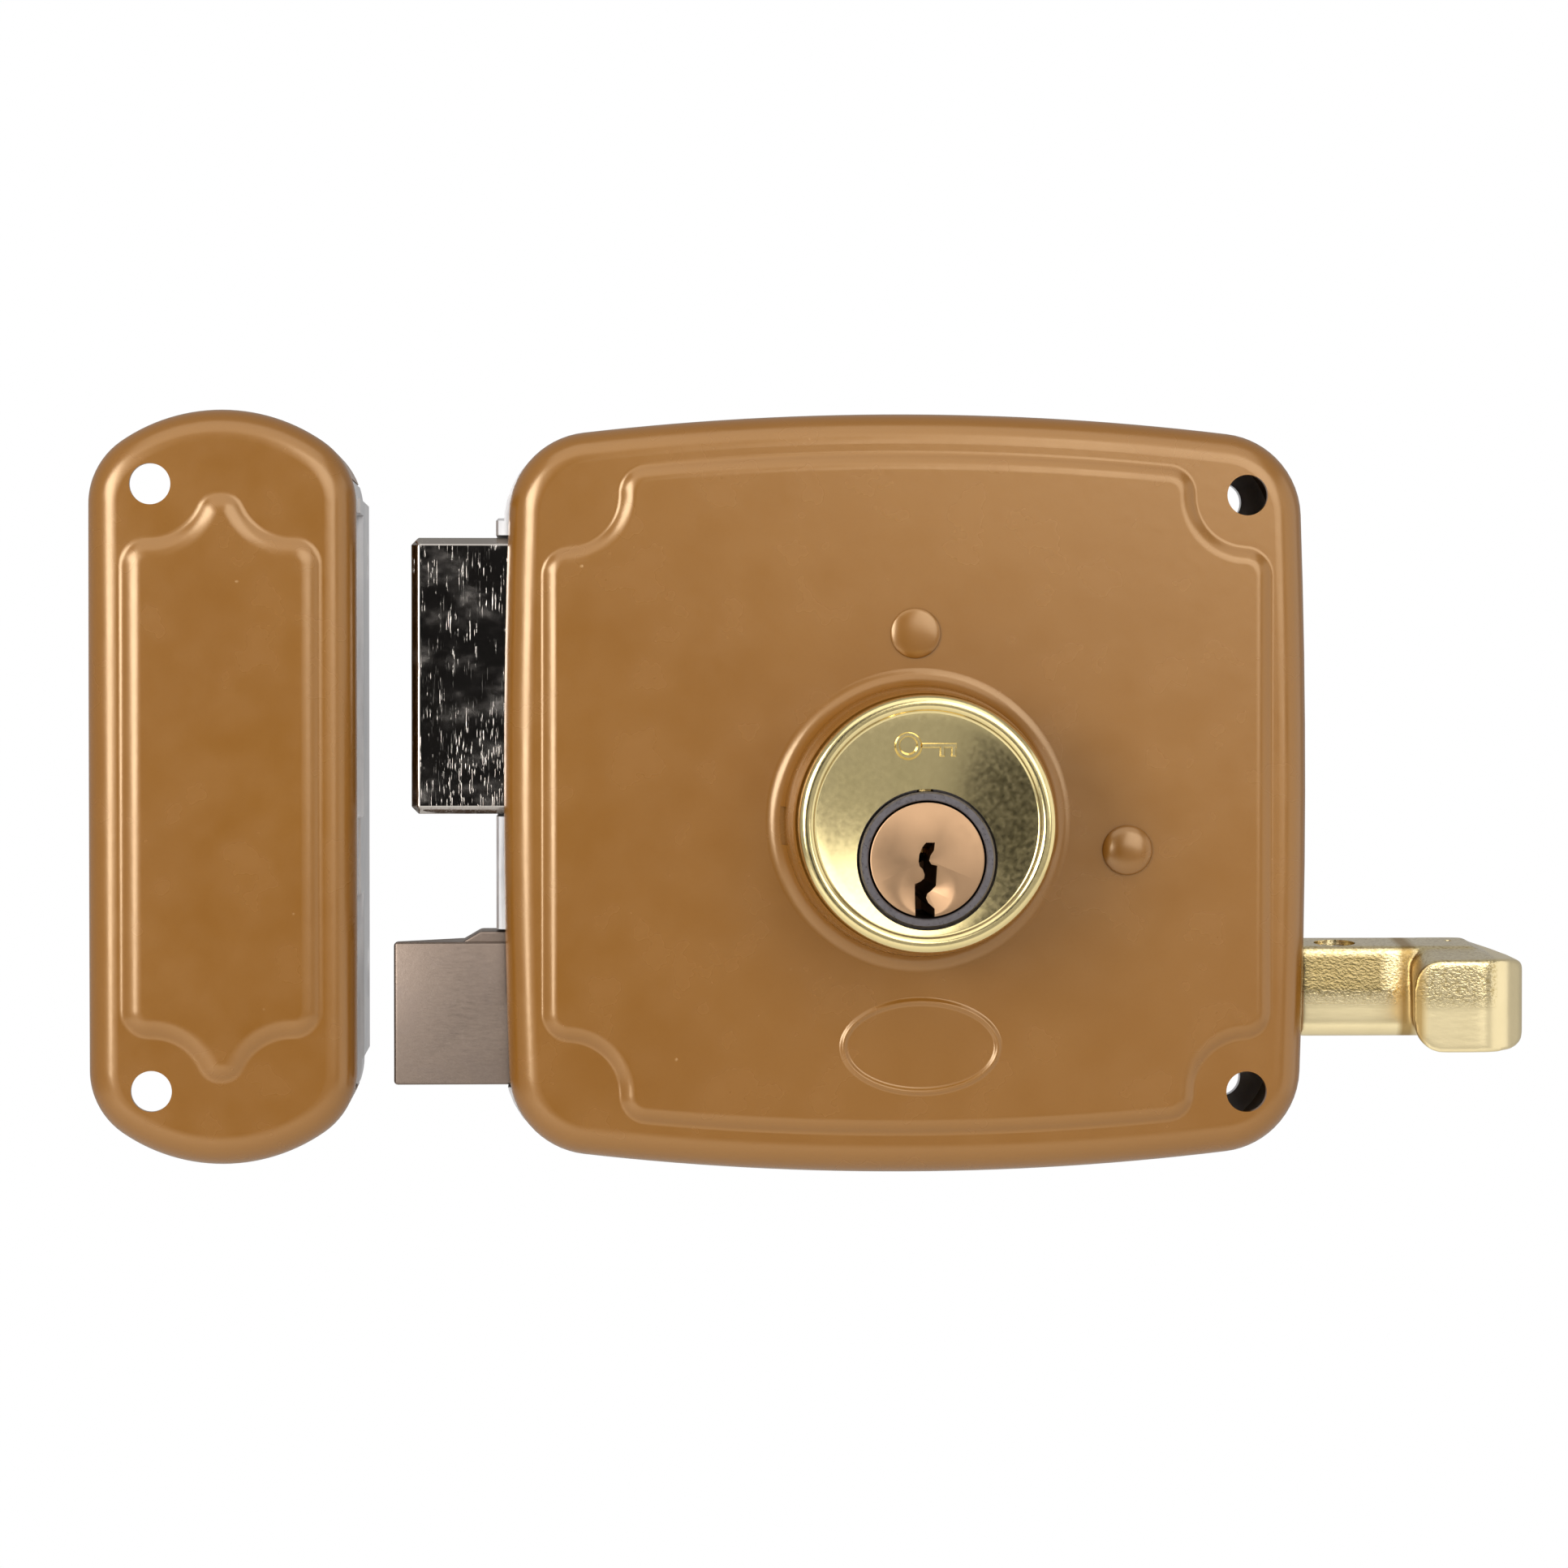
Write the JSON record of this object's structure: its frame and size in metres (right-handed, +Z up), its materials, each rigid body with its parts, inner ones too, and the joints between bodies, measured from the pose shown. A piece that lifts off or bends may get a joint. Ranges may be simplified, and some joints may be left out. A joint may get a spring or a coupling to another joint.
{
  "type": "rim night latch",
  "caption": "Surface-mounted rim lock with a pin-tumbler cylinder, a thrown deadbolt, a sprung bevelled latch with a side pull handle, and a matching box strike.",
  "frame": {"origin": "middle of the base plate's back face, which rests on the inside face of the door", "axes": "+Y into the door (the lock's front faces -Y), +X from the strike towards the door's hinges, along the bolts, +Z up"},
  "size_m": [0.1711, 0.049, 0.09],
  "materials": {
    "ochre_paint": "smooth ochre-brown stove enamel, glossy satin",
    "zinc_steel": "zinc plated, fine rolled grain",
    "dark_nickel": "bright nickel plate with draw marks, mirror smooth under them",
    "satin_nickel": "satin nickel plate",
    "rose_brass": "polished pale brass plate",
    "pin_brass": "turned brass",
    "plug_bronze": "fine turned rose bronze",
    "handle_brass": "brass plated casting, slightly pebbled",
    "spring_steel": "hard drawn wire and strip"
  },
  "bodies": {
    "lock_case": {"base_plate": "zinc_steel", "case_cover": "ochre_paint", "pillar_upper": "ochre_paint", "pillar_lower": "ochre_paint", "pillar_screw_1": "zinc_steel", "pillar_screw_2": "zinc_steel", "cylinder_rose": "rose_brass", "cylinder_body": "satin_nickel", "chamber_cap": "zinc_steel", "driver_pin_1": "pin_brass", "driver_pin_2": "pin_brass", "driver_pin_3": "pin_brass", "driver_pin_4": "pin_brass", "driver_pin_5": "pin_brass", "pin_spring_1": "spring_steel", "pin_spring_2": "spring_steel", "pin_spring_3": "spring_steel", "pin_spring_4": "spring_steel", "pin_spring_5": "spring_steel", "detent_post": "zinc_steel", "detent_spring": "spring_steel", "spring_bracket": "zinc_steel"},
    "plug": {"cylinder_plug": "plug_bronze", "key_pin_1": "pin_brass", "key_pin_2": "pin_brass", "key_pin_3": "pin_brass", "key_pin_4": "pin_brass", "key_pin_5": "pin_brass", "plug_clip": "spring_steel", "cam": "zinc_steel"},
    "deadbolt": {"deadbolt_head": "dark_nickel", "deadbolt_tail": "zinc_steel", "deadbolt_rivet_1": "zinc_steel", "deadbolt_rivet_2": "zinc_steel"},
    "latch": {"latch_bolt": "satin_nickel", "latch_draw_bar": "zinc_steel", "latch_pin": "zinc_steel", "latch_guide_rod": "zinc_steel", "latch_spring": "spring_steel", "pull_handle": "handle_brass", "handle_screw": "zinc_steel"},
    "strike": {"strike_cover": "ochre_paint", "strike_plate": "zinc_steel", "strike_rivet_1": "zinc_steel", "strike_rivet_2": "zinc_steel"}
  },
  "joints": [
    {"name": "plug_turn", "type": "hinge", "parent": "lock_case", "child": "plug", "pos_m": [0.00115, -0.025, -0.0072], "axis": [0, -1, 0], "range_deg": [-360, 360]},
    {"name": "deadbolt_slide", "type": "slide", "parent": "lock_case", "child": "deadbolt", "axis": [-1, 0, 0], "range_m": [-0.0105, 0.0105]},
    {"name": "latch_slide", "type": "slide", "parent": "lock_case", "child": "latch", "axis": [1, 0, 0], "range_m": [0, 0.0125], "stiffness_N_per_m": 150, "springref_m": -0.02, "deforming": ["latch_spring"]},
    {"name": "strike_slide", "type": "slide", "parent": "lock_case", "child": "strike", "axis": [1, 0, 0], "range_m": [0, 0.0133]}
  ],
  "couplings": [
    {"joint": "plug_turn", "follows": "deadbolt_slide", "rad_per_m": 598.4}
  ]
}
